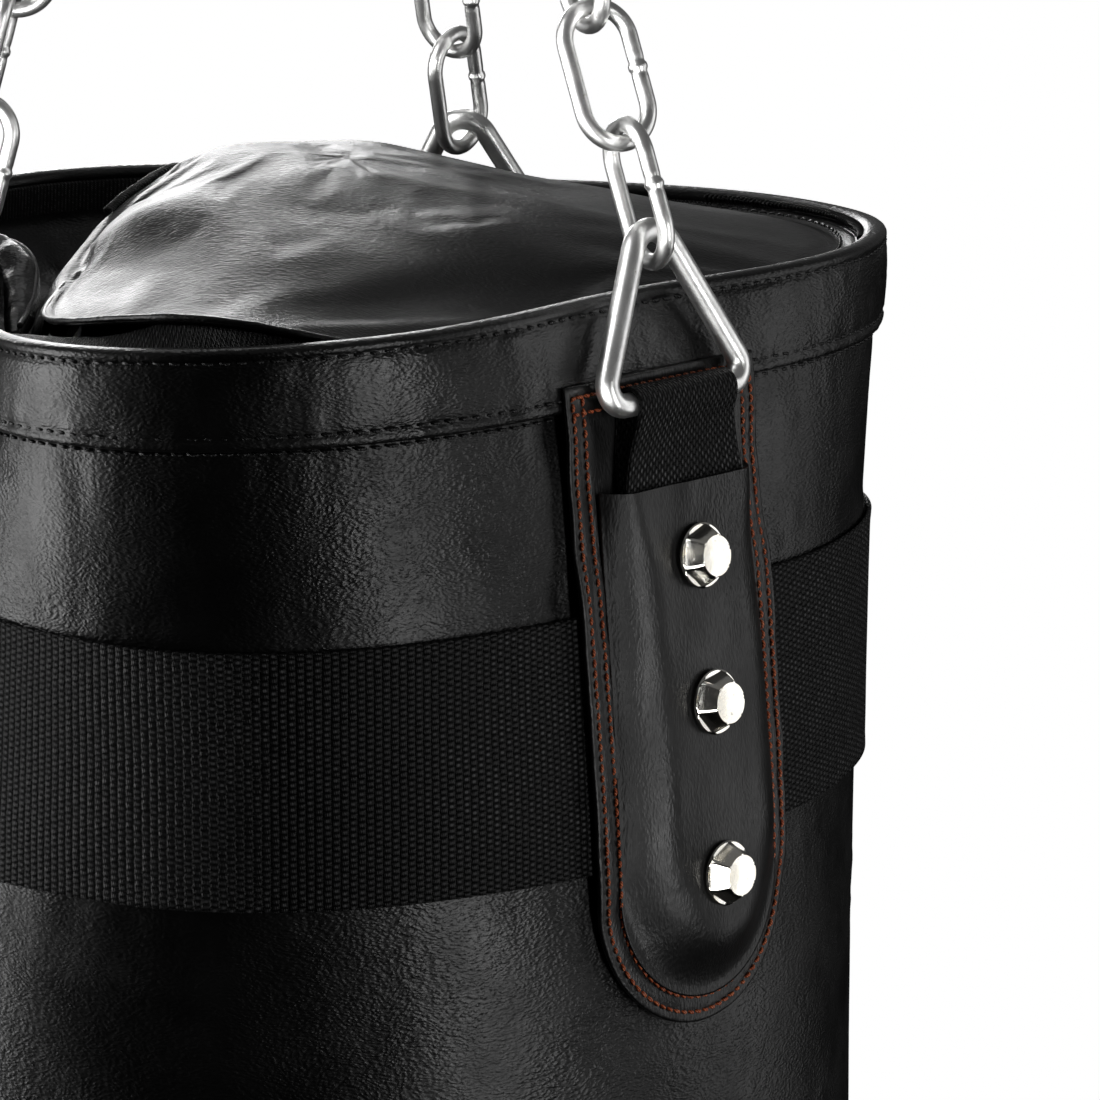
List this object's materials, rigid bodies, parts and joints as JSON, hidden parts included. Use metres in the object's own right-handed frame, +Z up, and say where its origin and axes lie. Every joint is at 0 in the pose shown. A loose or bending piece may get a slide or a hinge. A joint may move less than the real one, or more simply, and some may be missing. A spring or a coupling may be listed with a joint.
{
  "type": "hanging punching bag",
  "caption": "Hanging punching bag: sewn leather-look sleeve with a woven band, bolted hangers, triangular rings, chains, a turning swivel and a snap hook.",
  "frame": {"origin": "centre of the flat bottom", "axes": "+Z up along the bag to the hook; -Y is the side the bag is viewed from; +X to the viewer's right, where the snap hook's gate is"},
  "size_m": [0.3111, 0.3088, 1.383],
  "materials": {
    "leather": "glossy pebbled black synthetic leather",
    "hem_leather": "glossy black synthetic leather, folded and top-stitched",
    "webbing": "coarse black woven webbing",
    "stuffing": "packed textile shreds",
    "closure_fabric": "black hook-and-loop tape",
    "zinc_steel": "bright zinc-plated wire",
    "bright_steel": "polished plated steel"
  },
  "bodies": {
    "hook": {"snap_hook": "zinc_steel", "gate_pin": "bright_steel"},
    "gate": {"gate": "bright_steel"},
    "eye": {"swivel_eye": "zinc_steel"},
    "yoke": {"swivel_yoke": "zinc_steel", "clevis_pin": "bright_steel"},
    "bag": {"bolt_back_1": "bright_steel", "bolt_back_2": "bright_steel", "bolt_back_3": "bright_steel", "bolt_front_1": "bright_steel", "bolt_front_2": "bright_steel", "bolt_front_3": "bright_steel", "bolt_left_1": "bright_steel", "bolt_left_2": "bright_steel", "bolt_left_3": "bright_steel", "bottom_panel": "leather", "closure_tape": "closure_fabric", "collar": "hem_leather", "filling": "stuffing", "lid": "leather", "link_back_1": "zinc_steel", "link_back_2": "zinc_steel", "link_back_3": "zinc_steel", "link_back_4": "zinc_steel", "link_back_5": "zinc_steel", "link_back_6": "zinc_steel", "link_back_7": "zinc_steel", "link_back_8": "zinc_steel", "link_front_1": "zinc_steel", "link_front_2": "zinc_steel", "link_front_3": "zinc_steel", "link_front_4": "zinc_steel", "link_front_5": "zinc_steel", "link_front_6": "zinc_steel", "link_front_7": "zinc_steel", "link_front_8": "zinc_steel", "link_left_1": "zinc_steel", "link_left_2": "zinc_steel", "link_left_3": "zinc_steel", "link_left_4": "zinc_steel", "link_left_5": "zinc_steel", "link_left_6": "zinc_steel", "link_left_7": "zinc_steel", "link_left_8": "zinc_steel", "pad_back": "leather", "pad_front": "leather", "pad_left": "leather", "patch_back": "leather", "patch_front": "leather", "patch_left": "leather", "sleeve": "leather", "spreader_plate": "zinc_steel", "strap_back": "webbing", "strap_front": "webbing", "strap_left": "webbing", "webbing_band": "webbing"},
    "ring_front": {"ring_front": "zinc_steel"},
    "ring_back": {"ring_back": "zinc_steel"},
    "ring_left": {"ring_left": "zinc_steel"}
  },
  "joints": [
    {"name": "gate_hinge", "type": "hinge", "parent": "hook", "child": "gate", "pos_m": [0.019, 0, 1.3273], "axis": [0, 1, 0], "range_deg": [-28, 0]},
    {"name": "eye_swing", "type": "hinge", "parent": "hook", "child": "eye", "pos_m": [0, 0, 1.3028], "axis": [1, 0, 0], "range_deg": [-30, 30]},
    {"name": "swivel_spin", "type": "hinge", "parent": "eye", "child": "yoke", "pos_m": [0, 0, 1.2782], "axis": [0, 0, 1], "continuous": true},
    {"name": "bag_swing", "type": "hinge", "parent": "yoke", "child": "bag", "pos_m": [0, 0, 1.2602], "axis": [0, 1, 0], "range_deg": [-30, 30]},
    {"name": "ring_front_rock", "type": "hinge", "parent": "bag", "child": "ring_front", "pos_m": [0.09783, -0.09123, 0.976], "axis": [0.682, 0.7314, 0], "range_deg": [-1.2, 1.2]},
    {"name": "ring_back_rock", "type": "hinge", "parent": "bag", "child": "ring_back", "pos_m": [0.04134, 0.12722, 0.976], "axis": [-0.9511, 0.309, 0], "range_deg": [-1.2, 1.2]},
    {"name": "ring_left_rock", "type": "hinge", "parent": "bag", "child": "ring_left", "pos_m": [-0.10961, -0.03561, 0.976], "axis": [0.309, -0.9511, 0], "range_deg": [-1.2, 1.2]}
  ]
}
